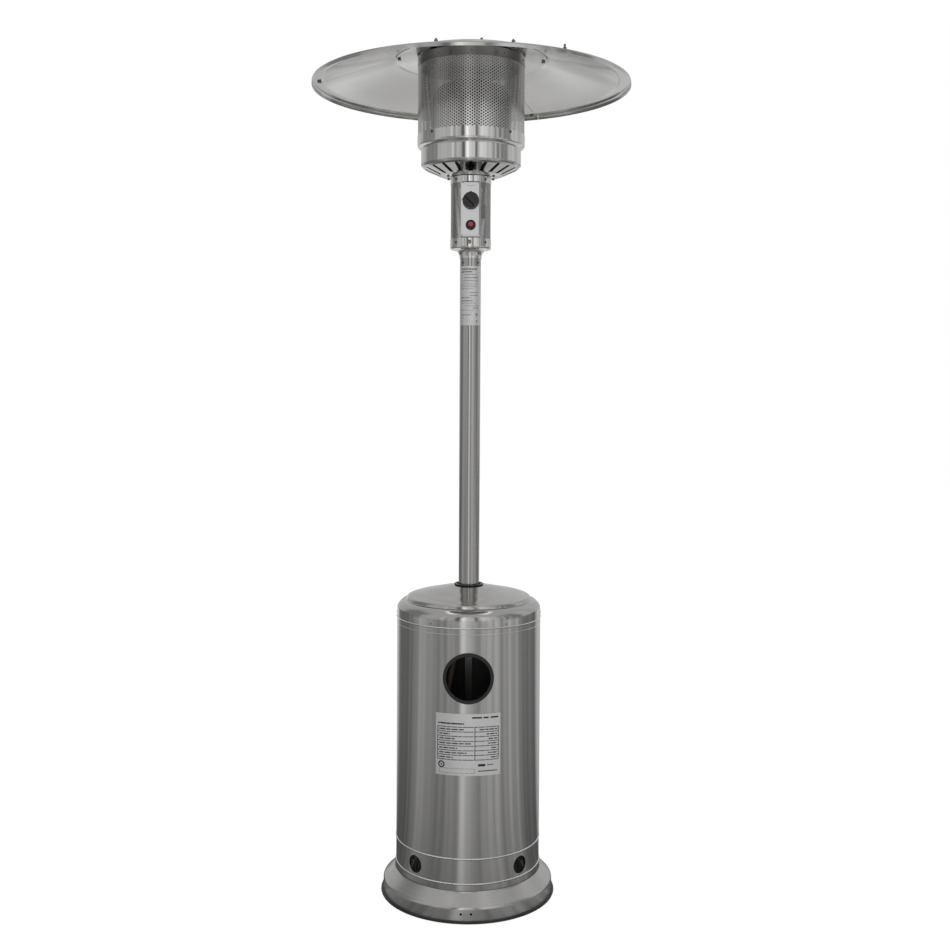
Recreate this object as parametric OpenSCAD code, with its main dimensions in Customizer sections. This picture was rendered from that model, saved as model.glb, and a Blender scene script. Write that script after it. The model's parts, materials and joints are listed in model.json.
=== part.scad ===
// Free-standing gas patio heater: round base and tank housing, post,
// control box, perforated emitter and a wide segmented reflector.
// Origin: centre of the base on the ground. +Z up, controls face -Y.

/* [Base] */
// Radius of the black edge trim on the ground
base_r = 225; // [223:0.5:235]
// Radius of the base's upright wall
base_wall_r = 219; // [217:0.5:219]
// Height of the edge trim
trim_h = 5.5; // [5:0.5:10]
// Distance between the two accessory holes in the front wall
kit_spacing = 25; // [15:1:60]

/* [Tank housing] */
// Outer radius of the cylindrical housing
housing_r = 186.2; // [184:0.1:186.4]
// Sheet thickness of the housing and the lid
sheet_t = 1.2; // [0.8:0.1:1.5]
// Height of the lid seam above ground
seam_z = 715.5; // [705:0.5:725]
// Radius of the sight hole
window_r = 55; // [40:1:60]
// Height of the sight hole's centre
window_z = 594.3; // [540:1:620]
// Radius of each vent hole
vent_r = 22; // [10:1:25]

/* [Post] */
// Outer radius of the post
post_r = 27; // [27:0.5:27.5]
// Wall thickness of the post
post_t = 1.5; // [1:0.1:2]

/* [Control box] */
// Outer radius of the control box
box_r = 52.6; // [52:0.1:53.5]
// Radius of the control knob
knob_r = 21; // [17:0.5:23]
// Radius of the igniter's push button
button_r = 5.8; // [5:0.1:6.5]

/* [Emitter] */
// Radius of the perforated emitter screen
screen_r = 136.9; // [136:0.1:136.9]
// Number of air slots in the burner dish
slot_count = 20; // [12:1:24]
// Width of each air slot
slot_w = 10; // [4:0.5:11]

/* [Reflector] */
// Radius of the reflector's rim
reflector_r = 406.5; // [395:0.5:430]
// Sheet thickness of the reflector
refl_t = 1.2; // [0.8:0.1:1.2]
// Angle of the first seam, from +X towards +Y
seam_a = -58; // [-70:1:-50]

/* [Hidden] */

floor_z = 51.7;            // top of the base floor
platform_z = 53.7;         // top of the tank platform
knob_z = 1780;
button_z = 1719;
panel_y = -60;             // front face of the control panel
reg = [-63, 4, 118];       // centre of the regulator
run_fit = 0.05;            // radial clearance of a running fit
leg_az = [90, 210, 330];

// Routes of the hose and the thin lines inside the head
hose_route = [[0,0,690], [0,0,676], [-4,0,660], [-13,0,642], [-24,0,626],
    [-33,0,609], [-40,0,588], [-46,0,560], [-51,0,525], [-56,1,475],
    [-60,2,420], [-62,3,360], [-63,4,300], [-63,4,240], [-63,4,170]];
lead_route = [[0,-11.6,1719], [0,-9.4,1719], [-4,-9.5,1721],
    [-9,-8.5,1726], [-15,-6,1735], [-22,-3,1752], [-25,0,1780], [-25,-4,1830], [-25,-10,1856],
    [-23,-24,1872], [-18,-50,1882], [-14,-80,1887], [-12,-100,1889],
    [-12,-107,1894], [-12,-108,1901]];
couple_route = [[-9,2,1804], [-9,2,1810], [-14,2,1822], [-20,-6,1842],
    [-20,-18,1862], [-14,-34,1876], [-4,-60,1883], [0,-85,1886],
    [0,-101,1888], [0,-107,1893], [0,-108,1901]];
pilot_route = [[9,2,1804], [9,2,1810], [14,2,1822], [20,-6,1842],
    [20,-18,1862], [16,-34,1876], [13,-60,1883], [12,-85,1886],
    [12,-101,1888], [12,-107,1893], [12,-108,1901]];

// ---------- helpers ----------
function cr(a, b, c, d, t) = 0.5 * (2*b + (c-a)*t
    + (2*a - 5*b + 4*c - d)*t*t + (3*b - a - 3*c + d)*t*t*t);
// Smooth curve through the points of p, n steps for each span
function smooth(p, n=3) = concat([for (i = [0:len(p)-2]) for (j = [0:n-1])
    cr(p[max(i-1, 0)], p[i], p[i+1], p[min(i+2, len(p)-1)], j/n)],
    [p[len(p)-1]]);
function along(p, i) = let (d = p[min(i+1, len(p)-1)] - p[max(i-1, 0)])
    d / norm(d);
// Closed outline of a sheet of thickness t on the left of the curve p
function sheet(p, t) = concat(p, [for (i = [len(p)-1:-1:0])
    let (d = along(p, i)) p[i] + t * [p[i][0] == 0 ? 0 : -d[1], d[0]]]);

module turn(p, a=360, from=0) rotate([0, 0, from])
    rotate_extrude(angle=a, $fn=180) polygon(p);
module ring(ro, ri, z0, z1, fn=128) translate([0, 0, z0])
    difference() {
        cylinder(r=ro, h=z1-z0, $fn=fn);
        translate([0, 0, -1]) cylinder(r=ri, h=z1-z0+2, $fn=fn);
    }
module bead(r, z, c) translate([0, 0, z]) rotate_extrude($fn=180)
    translate([r, 0]) circle(r=c, $fn=24);

// Round tube swept along a smooth route, as one closed polyhedron
module hose(route, r, n=3, sides=10, u0=[0, 1, 0]) {
    p = smooth(route, n);
    m = len(p);
    pts = [for (i = [0:m-1])
        let (t = along(p, i), c = cross(u0, t), u = c / norm(c),
             v = cross(t, u))
        for (k = [0:sides-1])
            p[i] + r * (cos(360*k/sides)*u + sin(360*k/sides)*v)];
    polyhedron(pts, concat(
        [[for (k = [0:sides-1]) k]],
        [for (i = [0:m-2]) for (k = [0:sides-1])
            [i*sides + k, (i+1)*sides + k,
             (i+1)*sides + (k+1)%sides, i*sides + (k+1)%sides]],
        [[for (k = [sides-1:-1:0]) (m-1)*sides + k]]), convexity=6);
}
// Pan-head screw lying along +X, its head's underside at x = 0
module pan_screw(hr=3.2, hh=2.2, sr=1.8, sl=5) rotate([0, 90, 0])
    difference() {
        union() {
            rotate_extrude($fn=32) polygon([[0, 0], [hr, 0],
                [hr, hh*0.45], [hr*0.8, hh*0.85], [hr*0.45, hh], [0, hh]]);
            translate([0, 0, -sl]) cylinder(r=sr, h=sl+0.1, $fn=24);
        }
        for (a = [0, 90]) rotate([0, 0, a])
            translate([-hr*0.55, -0.35, hh*0.55]) cube([hr*1.1, 0.7, hh]);
    }
// Hexagon bolt lying along +X, its head's underside at x = 0
module hex_bolt(af=10, hh=4, sr=3, sl=14, nut=0) rotate([0, 90, 0]) {
    cylinder(r=af/sqrt(3), h=hh, $fn=6);
    translate([0, 0, -sl]) cylinder(r=sr, h=sl+0.1, $fn=32);
    if (nut > 0) translate([0, 0, -nut-5]) cylinder(r=af/sqrt(3), h=5, $fn=6);
}
module around(angles) for (a = angles) rotate([0, 0, a]) children();

// ---------- base ----------
module base_edge_trim() color([0.06, 0.06, 0.06]) {
    w = base_wall_r;
    turn([[w-4, 0], [base_r-2.4, 0], [base_r-0.7, 0.8], [base_r, 2.4],
        [base_r-0.5, trim_h-1.4], [base_r-2.2, trim_h], [w, trim_h], [w, 2.2],
        [w-1.2, 2.2], [w-1.2, trim_h], [w-3.2, trim_h], [w-4, trim_h-0.8]]);
}
module base_dish() color([0.62, 0.62, 0.62]) {
    w = base_wall_r;
    out = smooth([[w, 32], [w-0.4, 35.2], [w-1.8, 38], [w-4.2, 40.6],
        [w-9.4, 45.3], [w-16, 51.3], [w-23, 57.7], [w-28.6, 62.9],
        [w-30.4, 65.2]], 3);
    inn = [[w-30.5, 50.5], [w-30.4, 62.2], [w-27.8, 60.5], [w-22.2, 55.3],
        [w-15.2, 48.9], [w-8.8, 43], [w-4.2, 38.9], [w-2.5, 37],
        [w-1.5, 34.6], [w-1.2, 32], [w-1.2, 2.2]];
    difference() {
        turn(concat([[w, 2.2]], out, [[w-31, 66], [w-31.7, 65.6],
            [w-31.7, floor_z], [60, floor_z], [60, 50.5]], inn));
        // accessory holes in the front wall
        for (s = [-1, 1]) translate([s*kit_spacing/2-3.2, -w-5, 23])
            rotate([-90, 0, 0]) cylinder(r=3, h=12, $fn=32);
        // bolt holes
        around(leg_az) translate([158, 0, 40]) cylinder(r=3.2, h=20, $fn=32);
        around([30, 150, 270]) translate([110, 0, 40])
            cylinder(r=3.2, h=20, $fn=32);
    }
}
module tank_platform() color([0.35, 0.35, 0.36]) difference() {
    union() {
        ring(144, 20, floor_z, platform_z);
        bead(132, platform_z, 1.2);
    }
    around([30, 150, 270]) translate([110, 0, 40])
        cylinder(r=3.2, h=20, $fn=32);
    around([0:60:300]) translate([60, 0, 40]) cylinder(r=9, h=20, $fn=48);
}

// ---------- frame ----------
module leg() {
    w = 19;
    difference() {
        union() {
            // web with its top tab
            translate([0, w/2, 0]) rotate([90, 0, 0]) linear_extrude(w)
                polygon([[170, floor_z+1], [172.5, floor_z+1], [172.5, 645],
                    [34.2, 735], [34.2, 778], [31.7, 778], [31.7, 733.4],
                    [170, 643.4]]);
            // side flange
            translate([0, w/2, 0]) rotate([90, 0, 0]) linear_extrude(1.8)
                polygon([[172, 58], [176, 58], [182.3, 66], [182.3, 650.2],
                    [65.4, 726.2], [60, 717.8], [172, 645]]);
            // foot
            translate([148, -15, floor_z]) cube([24.5, 30, 2.5]);
            // rounded foot tab
            translate([170, 0, floor_z]) rotate([90, 0, 90]) linear_extrude(2.5)
                union() {
                    translate([-15, 0]) square([30, 34]);
                    translate([0, 34]) circle(r=15, $fn=48);
                }
        }
        translate([158, 0, 40]) cylinder(r=3.2, h=20, $fn=32);
        translate([20, 0, 764]) rotate([0, 90, 0]) cylinder(r=3.2, h=30, $fn=32);
        translate([150, 0, 90]) rotate([0, 90, 0]) cylinder(r=3, h=40, $fn=32);
    }
}
module leg_rear() color([0.55, 0.55, 0.56]) rotate([0, 0, 90]) leg();
module leg_left() color([0.55, 0.55, 0.56]) rotate([0, 0, 210]) leg();
module leg_right() color([0.55, 0.55, 0.56]) rotate([0, 0, 330]) leg();
module frame_bolts() color([0.7, 0.7, 0.7]) {
    around(leg_az) {
        translate([158, 0, floor_z+2.5]) rotate([0, -90, 0]) hex_bolt(nut=4);
        translate([34.2, 0, 764]) hex_bolt(sl=11);
    }
    around([30, 150, 270]) translate([110, 0, platform_z])
        rotate([0, -90, 0]) hex_bolt(hh=3, nut=3.5);
}
module post_socket() color([0.45, 0.45, 0.46]) difference() {
    union() {
        ring(31.5, post_r, 688, 780);
        ring(31.5, 15, 686, 688.2);
        around(leg_az) translate([30, -10, 750]) cube([1.7, 20, 28]);
    }
    around(leg_az) translate([20, 0, 764]) rotate([0, 90, 0])
        cylinder(r=3.1, h=30, $fn=32);
}
module post() color([0.66, 0.66, 0.67]) difference() {
    ring(post_r, post_r-post_t, 688.2, 1664);
    around(leg_az) translate([20, 0, 764]) rotate([0, 90, 0])
        cylinder(r=3.1, h=30, $fn=32);
    around([45:90:315]) translate([20, 0, 1628]) rotate([0, 90, 0])
        cylinder(r=1.9, h=20, $fn=24);
}
module post_label() color([0.82, 0.82, 0.82]) rotate([0, 0, -165])
    rotate_extrude(angle=150, $fn=180)
    polygon([[post_r, 1467.5], [post_r+0.35, 1467.5],
        [post_r+0.35, 1619], [post_r, 1619]]);
module post_screws() color([0.75, 0.75, 0.75]) around([45:90:315])
    translate([post_r, 0, 1628]) pan_screw(3, 2, 1.8, 3.5);

// ---------- control box ----------
module head_flange() color([0.78, 0.78, 0.79]) difference() {
    turn(concat([[27, 1639.5]], [[28.3, 1639.5]], smooth([[28.3, 1641],
        [28.7, 1647], [30.5, 1651.4], [33.4, 1655.7], [38, 1659.6],
        [44, 1661.6], [49.5, 1662.5]], 3), [[51.3, 1662.9], [51.3, 1663.4],
        [44, 1663.4], [38, 1661.4], [32.6, 1657.4], [29.4, 1652.2],
        [27, 1646]]));
    around([40:90:310]) translate([30.6, 0, 1652.2]) rotate([0, 120, 0]) {
        translate([0, 0, -8]) cylinder(r=1.5, h=16, $fn=24);
        cylinder(r=2.6, h=6, $fn=32);
    }
}
module control_box_cup() color([0.8, 0.8, 0.81]) difference() {
    union() {
        turn([[22, 1664.6], [48.4, 1664.6], [51.4, 1667.6], [51.4, 1688],
            [box_r, 1688], [box_r, 1667.2], [51.9, 1665], [50, 1663.7],
            [48, 1663.4], [22, 1663.4]]);
        translate([0, 0, 1688]) bead(52, 0, 0.6);
    }
    translate([0, 0, 1660]) cylinder(r=post_r, h=4, $fn=96);
    translate([-3, -40, 1678]) rotate([90, 0, 0]) cylinder(r=2.1, h=20, $fn=32);
    around([45:90:315]) translate([40, 0, 1678]) rotate([0, 90, 0])
        cylinder(r=1.9, h=20, $fn=24);
}
module control_box_guard() color([0.5, 0.5, 0.51]) difference() {
    ring(51.3, 50.4, 1681, 1838);
    translate([-25.3, -60, 1689.7]) cube([50.6, 30, 140.6]);
    around([45:90:315]) for (z = [1678, 1838]) translate([40, 0, z])
        rotate([0, 90, 0]) cylinder(r=1.9, h=20, $fn=24);
}
module rounded(w, h, r) union() {
    translate([-w/2+r, 0]) square([w-2*r, h]);
    translate([-w/2, r]) square([w, h-2*r]);
    for (x = [-1, 1], z = [0, 1]) translate([x*(w/2-r), z ? h-r : r])
        circle(r=r, $fn=32);
}
// Pressed tray: flat face with sloping edges c wide and d deep
module pressed(w, h, r, c, d, deep) hull() {
    translate([0, c, 0]) linear_extrude(0.1) rounded(w-2*c, h-2*c, r);
    translate([0, 0, d]) linear_extrude(deep-d) rounded(w, h, r);
}
module control_panel() color([0.85, 0.85, 0.85]) difference() {
    translate([0, panel_y, 1690]) rotate([90, 0, 0]) mirror([0, 0, 1])
        difference() {
            union() {
                pressed(50, 140, 3, 4.5, 3, 16);
                // rounded swelling at the top
                translate([0, 151, 0]) intersection() {
                    translate([0, 0, -0.9])
                        cylinder(r1=23.6, r2=25.6, h=3, $fn=128);
                    translate([-19, -30, -1]) cube([38, 15.5, 4]);
                }
            }
            translate([0, 1.2, 1.2]) pressed(47.6, 137.6, 2, 4.3, 3, 16);
            translate([0, knob_z-1690, -2]) cylinder(r=9, h=5, $fn=64);
            translate([0, button_z-1690, -2]) cylinder(r=9.1, h=5, $fn=64);
        }
}
module control_box_collar() color([0.8, 0.8, 0.81]) difference() {
    turn([[51.4, 1829], [box_r, 1829.4], [box_r, 1845.6],
        [51.6, 1847.4], [36, 1847.4], [36, 1846.2], [50.8, 1846.2],
        [51.4, 1845.4]]);
    translate([-25.3, -62, 1820]) cube([50.6, 30, 10.4]);
    around([45:90:315]) translate([40, 0, 1838]) rotate([0, 90, 0])
        cylinder(r=1.9, h=20, $fn=24);
}
module control_box_screws() color([0.7, 0.7, 0.7]) {
    around([45:90:315]) for (z = [1678, 1838])
        translate([box_r, 0, z]) pan_screw(3.8, 2.4, 1.8, 5);
    around([40:90:310]) translate([30.6, 0, 1652.2])
        rotate([0, 30, 0]) pan_screw(2.4, 1.6, 1.4, 2.8);
}
module earth_screw() color([0.62, 0.55, 0.32]) translate([-3, 0, 1678])
    rotate([0, 0, -90]) translate([box_r, 0, 0])
    pan_screw(5.2, 2.4, 2, 6);

// ---------- gas valve and ignition ----------
module gas_valve() color([0.7, 0.66, 0.5]) difference() {
    union() {
        translate([-16, -30, 1745]) cube([32, 44, 55]);
        translate([0, 0, 1732]) cylinder(r=8, h=14, $fn=48);
        translate([0, 0, 1799]) cylinder(r=7, h=30, $fn=48);
        translate([0, -29, knob_z]) rotate([90, 0, 0])
            cylinder(r=13, h=17, $fn=64);
        for (s = [-1, 1]) translate([s*9, 2, 1799])
            cylinder(r=3.4, h=5, $fn=6);
        // mounting posts that reach the panel
        for (x = [-11, 11], z = [1756, 1794]) translate([x, -29, z])
            rotate([90, 0, 0]) cylinder(r=3, h=29.8, $fn=32);
    }
    // guide bore and spindle bore
    translate([0, -36, knob_z]) rotate([90, 0, 0])
        cylinder(r=8+run_fit, h=11, $fn=64);
    translate([0, -18, knob_z]) rotate([90, 0, 0])
        cylinder(r=4+run_fit, h=19, $fn=48);
}
// Collar that the knob pushes inwards, sprung inside the valve
module valve_plunger() color([0.75, 0.68, 0.4])
    translate([0, -40, knob_z]) rotate([90, 0, 0])
    difference() {
        cylinder(r=8, h=8, $fn=64);
        translate([0, 0, -1]) cylinder(r=4+run_fit, h=10, $fn=48);
    }
// Spindle, turned and pushed by the knob
module valve_spindle() color([0.75, 0.75, 0.75])
    translate([0, -22, knob_z]) rotate([90, 0, 0]) {
        cylinder(r=4, h=53.8, $fn=48);
        translate([0, 0, 26.3]) cylinder(r=6, h=3, $fn=48);
    }
module control_knob() color([0.09, 0.09, 0.09])
    translate([0, -64, knob_z]) rotate([90, 0, 0]) {
        difference() {
            rotate_extrude($fn=96) polygon([[0, 0], [knob_r, 0],
                [knob_r, 2.4], [knob_r-0.9, 3.2], [knob_r-0.9, 14.6],
                [knob_r-1.6, 16.2], [knob_r-3, 17], [0, 17]]);
            translate([0, 0, -1]) cylinder(r=4, h=13, $fn=48);
        }
        // grip bar, from upper left to lower right
        rotate([0, 0, -46]) intersection() {
            hull() {
                translate([-knob_r, -5.6, 16.9]) cube([2*knob_r, 11.2, 1]);
                translate([-knob_r, -4.4, 29]) cube([2*knob_r, 8.8, 1]);
            }
            translate([0, 0, 10]) cylinder(r1=knob_r, r2=knob_r-3, h=20, $fn=96);
        }
        // pointer nubs
        for (a = [90, 176]) rotate([0, 0, a])
            translate([knob_r-0.8, 0, 0]) cylinder(r=2, h=15.4, $fn=24);
    }
module igniter_body() color([0.12, 0.12, 0.12])
    translate([0, -14, button_z]) rotate([90, 0, 0]) difference() {
        union() {
            cylinder(r=9, h=50, $fn=64);
            translate([0, 0, -2]) cylinder(r=3, h=3, $fn=32);
        }
        translate([0, 0, 34]) cylinder(r=button_r+run_fit, h=20, $fn=64);
    }
module igniter_bezel() color([0.05, 0.05, 0.05])
    translate([0, panel_y, button_z]) rotate([90, 0, 0])
    rotate_extrude($fn=64) polygon([[9, 0], [13, 0], [13, 4],
        [12, 6.5], [10.4, 7.6], [9, 7.6]]);
module igniter_button() color([0.75, 0.15, 0.15])
    translate([0, -54, button_z]) rotate([90, 0, 0])
    rotate_extrude($fn=64) polygon([[0, 0], [button_r, 0],
        [button_r, 25], [button_r-0.6, 26.8], [button_r-2, 27.6], [0, 27.2]]);
module igniter_lead() color([0.75, 0.72, 0.65]) {
    hose(lead_route, 1.6, 3, 8, [1, 0, 0]);
    translate([-12, -108, 1900.9]) cylinder(r=2.2, h=14, $fn=32);
    translate([-12, -108, 1914]) cylinder(r=0.9, h=12, $fn=24);
}
module thermocouple() color([0.72, 0.45, 0.3]) {
    hose(couple_route, 1.5, 3, 8, [1, 0, 0]);
    translate([0, -108, 1900.9]) cylinder(r=2.4, h=22, $fn=32);
}
module pilot_tube() color([0.7, 0.7, 0.7]) {
    hose(pilot_route, 1.8, 3, 8, [1, 0, 0]);
    translate([12, -108, 1900.9]) cylinder(r=3, h=14, $fn=32);
}
module pilot_bracket() color([0.3, 0.3, 0.3]) difference() {
    union() {
        translate([-20, -117, 1899.2]) cube([40, 16.7, 1.6]);
        translate([-20, -118, 1884]) cube([40, 1.4, 16.8]);
    }
    translate([0, -108, 1890]) cylinder(r=2.5, h=20, $fn=32);
    translate([12, -108, 1890]) cylinder(r=3.1, h=20, $fn=32);
    translate([-12, -108, 1890]) cylinder(r=2.3, h=20, $fn=32);
    for (s = [-1, 1]) translate([s*13, -110, 1890]) rotate([90, 0, 0])
        cylinder(r=2.4, h=20, $fn=32);
}
// Tilt switch that shuts the gas off when the heater leans
module tilt_case() color([0.15, 0.15, 0.16]) {
    difference() {
        translate([22, -4, 1745]) cube([16, 28, 34]);
        translate([23.5, -2.5, 1746.5]) cube([13, 25, 31]);
    }
    translate([16, 0, 1750]) cube([6.2, 10, 3]);
    translate([22.5, 10, 1772]) rotate([0, 90, 0])
        cylinder(r=1.5, h=15, $fn=32);
}
module tilt_pendulum() color([0.8, 0.8, 0.8]) difference() {
    union() {
        translate([28, 10, 1772]) rotate([0, 90, 0])
            cylinder(r=4, h=4, $fn=48);
        translate([28.8, 8.8, 1756]) cube([2.4, 2.4, 15]);
        translate([26, 10, 1755]) rotate([0, 90, 0])
            cylinder(r=4.5, h=8, $fn=48);
    }
    translate([20, 10, 1772]) rotate([0, 90, 0])
        cylinder(r=1.5+run_fit, h=20, $fn=32);
}
module gas_jet() color([0.78, 0.65, 0.3]) difference() {
    union() {
        translate([0, 0, 1829]) cylinder(r=6.4, h=8, $fn=6);
        translate([0, 0, 1837]) cylinder(r=3.5, h=7, $fn=32);
    }
    translate([0, 0, 1828]) cylinder(r=0.8, h=20, $fn=24);
}
module venturi_tube() color([0.6, 0.6, 0.6]) difference() {
    turn([[15.8, 1852], [20.5, 1850], [20.5, 1851.4], [17, 1853.2],
        [17, 1896.8], [46, 1896.8], [46, 1898], [15.8, 1898]]);
    around([0:90:270]) translate([10, 0, 1862]) rotate([0, 90, 0])
        cylinder(r=5, h=14, $fn=32);
}

// ---------- burner and emitter ----------
module burner_dish() color([0.6, 0.6, 0.61]) difference() {
    turn(sheet([[34, 1847.4], [58, 1847.9], [70, 1849.2], [77, 1850.6],
        [86, 1854], [97, 1859], [110, 1864.6], [118, 1868.2],
        [123.2, 1871.8], [126, 1875.6], [127, 1880], [127, 1886]], 1.2));
    // air slots
    around([for (k = [0:slot_count-1]) -90 + k*360/slot_count])
        translate([0, 0, 1840]) union() {
            translate([78+slot_w/2, -slot_w/2, 0]) cube([41-slot_w, slot_w, 50]);
            translate([78+slot_w/2, 0, 0]) cylinder(r=slot_w/2, h=50, $fn=24);
            translate([119-slot_w/2, 0, 0]) cylinder(r=slot_w/2, h=50, $fn=24);
        }
    for (x = [-58, 58], y = [-25, 25]) translate([x, y, 1840])
        cylinder(r=2.6, h=20, $fn=32);
}
module lower_band() color([0.85, 0.85, 0.86])
    turn([[127.1, 1877.2], [127.9, 1876.8], [128.4, 1877.6],
        [128.4, 1914.4], [127.9, 1915], [127.1, 1915]]);
module upper_band() color([0.85, 0.85, 0.86]) difference() {
    turn(sheet(concat([[127, 1898]], smooth([[127, 1915], [127.5, 1917],
        [129.8, 1919.6], [133.6, 1921.8], [136.8, 1924.2], [138, 1928.5]], 4),
        [[138, 1952.6]]), 1));
    around([45:90:315]) translate([120, 0, 1946]) rotate([0, 90, 0])
        cylinder(r=1.9, h=30, $fn=24);
}
module head_screws() color([0.7, 0.7, 0.7]) {
    around([45:90:315]) translate([138, 0, 1946]) pan_screw(3.9, 2.4, 1.8, 4);
    // bolts that hold the burner dish
    for (x = [-58, 58], y = [-25, 25]) translate([x, y, 1848.05])
        rotate([0, 90, 0]) pan_screw(3.4, 3, 2.2, 3.4);
    around([-90:36:250]) translate([138, 0, 2137]) pan_screw(2, 1.3, 1.3, 3);
}
module burner_plate() color([0.5, 0.5, 0.5]) difference() {
    ring(125.9, 15.8, 1898, 1899.2);
    translate([-24, -123, 1890]) cube([48, 21.5, 20]);
    around([20:40:340]) translate([60, 0, 1890]) cylinder(r=6, h=20, $fn=32);
}
module burner_dome() color([0.55, 0.5, 0.45])
    turn(sheet(concat([[100, 1899.2], [100, 2040]], smooth([[99, 2052],
        [93, 2066], [80, 2078], [55, 2088], [28, 2092.5], [0, 2094]], 3)), 1));
module emitter_screen() color([0.55, 0.55, 0.56]) difference() {
    ring(screen_r, screen_r-0.8, 1936, 2148);
    around([45:90:315]) translate([120, 0, 1946]) rotate([0, 90, 0])
        cylinder(r=1.9, h=30, $fn=24);
    around([-90:36:250]) translate([120, 0, 2137]) rotate([0, 90, 0])
        cylinder(r=1.4, h=30, $fn=24);
}
module emitter_cap() color([0.6, 0.6, 0.6]) difference() {
    turn([[137, 2126], [138, 2126], [138, 2149.4], [136.4, 2151.2],
        [0, 2151.2], [0, 2150], [136, 2150], [137, 2149]]);
    around([44, 164, 284]) translate([100, 0, 2140])
        cylinder(r=3.1, h=20, $fn=32);
    around([-90:36:250]) translate([120, 0, 2137]) rotate([0, 90, 0])
        cylinder(r=1.4, h=30, $fn=24);
}

// ---------- reflector ----------
plate_under = [[192, 2145.4], [176, 2148.4], [134, 2155.2],
    [131.5, 2156.2], [129.5, 2157.6], [126, 2158.2], [0, 2160]];
module reflector_studs() color([0.75, 0.75, 0.75])
    around([44, 164, 284]) translate([100, 0, 0]) {
        translate([0, 0, 2143]) cylinder(r=3, h=34.5, $fn=32);
        translate([0, 0, 2151.2]) cylinder(r=7, h=7.1, $fn=48);
        translate([0, 0, 2145]) cylinder(r=5.77, h=5, $fn=6);
    }
module reflector_centre() color([0.72, 0.72, 0.72]) difference() {
    turn(sheet(plate_under, -refl_t));
    around([44, 164, 284]) translate([100, 0, 2140])
        cylinder(r=3.1, h=40, $fn=32);
    around([for (k = [0:2], o = [1.6, 60]) seam_a + 120*k + o])
        translate([184.5, 0, 2130]) cylinder(r=2.7, h=40, $fn=32);
}
module reflector_nuts() color([0.8, 0.8, 0.8])
    around([44, 164, 284]) translate([100, 0, 2160]) difference() {
        union() {
            cylinder(r=8, h=1.4, $fn=48);
            translate([0, 0, 1.3]) cylinder(r=5.2, h=8.5, $fn=48);
            // wings
            for (s = [0, 180]) rotate([0, 0, s]) translate([4, -1.1, 3])
                cube([9, 2.2, 12]);
        }
        translate([0, 0, -1]) cylinder(r=3.05, h=20, $fn=32);
    }
function panel_under(o=0) = [for (q = concat([[reflector_r, 2074],
    [reflector_r, 2081.2], [reflector_r-0.7, 2083.2],
    [reflector_r-2.6, 2084.4], [reflector_r-27, 2086.4]],
    smooth([[reflector_r-31, 2088], [340, 2099.6], [300, 2112.6],
    [260, 2125], [222, 2136.2], [199, 2143.2]], 3),
    [[195, 2145.4], [192.5, 2146.75], [178, 2149.5]])) [q[0]+o*0.25, q[1]+o]];
// One third of the dish, with a lapped edge over its neighbour
module panel(from) color([0.74, 0.74, 0.74]) difference() {
    union() {
        turn(sheet(panel_under(), -refl_t), 119.8, from);
        turn(sheet([for (q = panel_under()) if (q[1] > 2084.4)
            q + [0, refl_t+0.15]], -refl_t), 4.6, from+118.4);
        turn(sheet([for (q = panel_under()) if (q[1] > 2084.4)
            q + [0, 0.6]], -refl_t), 0.8, from+118.4);
    }
    around([from+1.6, from+121.6]) translate([reflector_r-18.5, 0, 2070])
        cylinder(r=2.7, h=40, $fn=32);
    around([from+1.6, from+60, from+121.6]) translate([184.5, 0, 2130])
        cylinder(r=2.7, h=40, $fn=32);
}
module reflector_panel_right() panel(seam_a);
module reflector_panel_rear() panel(seam_a+120);
module reflector_panel_front() panel(seam_a+240);
// Bolts through the seams near the rim and the centre
module seam_bolts() color([0.75, 0.75, 0.75]) {
    around([for (k = [0:2]) seam_a + 1.6 + 120*k]) {
        translate([reflector_r-18.5, 0, 2084]) {
            cylinder(r=2.5, h=17, $fn=32);
            translate([0, 0, -2.2]) cylinder(r=5, h=3.6, $fn=32);
            translate([0, 0, 5]) cylinder(r=4.62, h=4, $fn=6);
        }
        translate([184.5, 0, 2144]) {
            cylinder(r=2.5, h=15, $fn=32);
            translate([0, 0, -1.2]) cylinder(r=4.8, h=3, $fn=32);
            translate([0, 0, 8]) cylinder(r=4.62, h=4, $fn=6);
        }
    }
    around([for (k = [0:2]) seam_a + 60 + 120*k]) translate([184.5, 0, 2144]) {
        cylinder(r=2.5, h=14, $fn=32);
        translate([0, 0, -1.2]) cylinder(r=4.8, h=3, $fn=32);
        translate([0, 0, 6.6]) cylinder(r=4.62, h=4, $fn=6);
    }
}

// ---------- hose and regulator ----------
module gas_hose_upper() color([0.55, 0.32, 0.22])
    translate([0, 0, 690]) cylinder(r=6.5, h=1042, $fn=32);
module gas_hose_lower() color([0.55, 0.32, 0.22]) hose(hose_route, 6.5, 4, 10);
module hose_ferrule() color([0.75, 0.75, 0.75])
    translate([reg[0], reg[1], 0]) turn([[6.5, 168], [8.3, 168],
        [8.3, 172], [7.9, 173], [8.3, 174], [8.3, 179], [7.9, 180],
        [8.3, 181], [8.3, 190], [7.8, 191], [6.5, 191]]);
module regulator_body() color([0.6, 0.6, 0.6]) translate(reg) {
    // diaphragm case, its axis along X
    rotate([0, 90, 0]) rotate_extrude($fn=96) polygon([[0, -11],
        [22, -11], [27, -9], [31, -2.5], [31, 2.5], [27, 7], [20, 10],
        [13, 11], [13, 17], [11.5, 18.5], [0, 18.5]]);
    // outlet spigot upwards
    translate([0, 0, 27]) cylinder(r=8.5, h=13, $fn=48);
    translate([0, 0, 39]) cylinder(r=6.2, h=13, $fn=48);
    // inlet nipple towards the front
    translate([0, -26, 0]) rotate([90, 0, 0]) cylinder(r=10, h=9, $fn=48);
    translate([0, -34, 0]) rotate([90, 0, 0]) cylinder(r=6, h=34, $fn=48);
}
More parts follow.
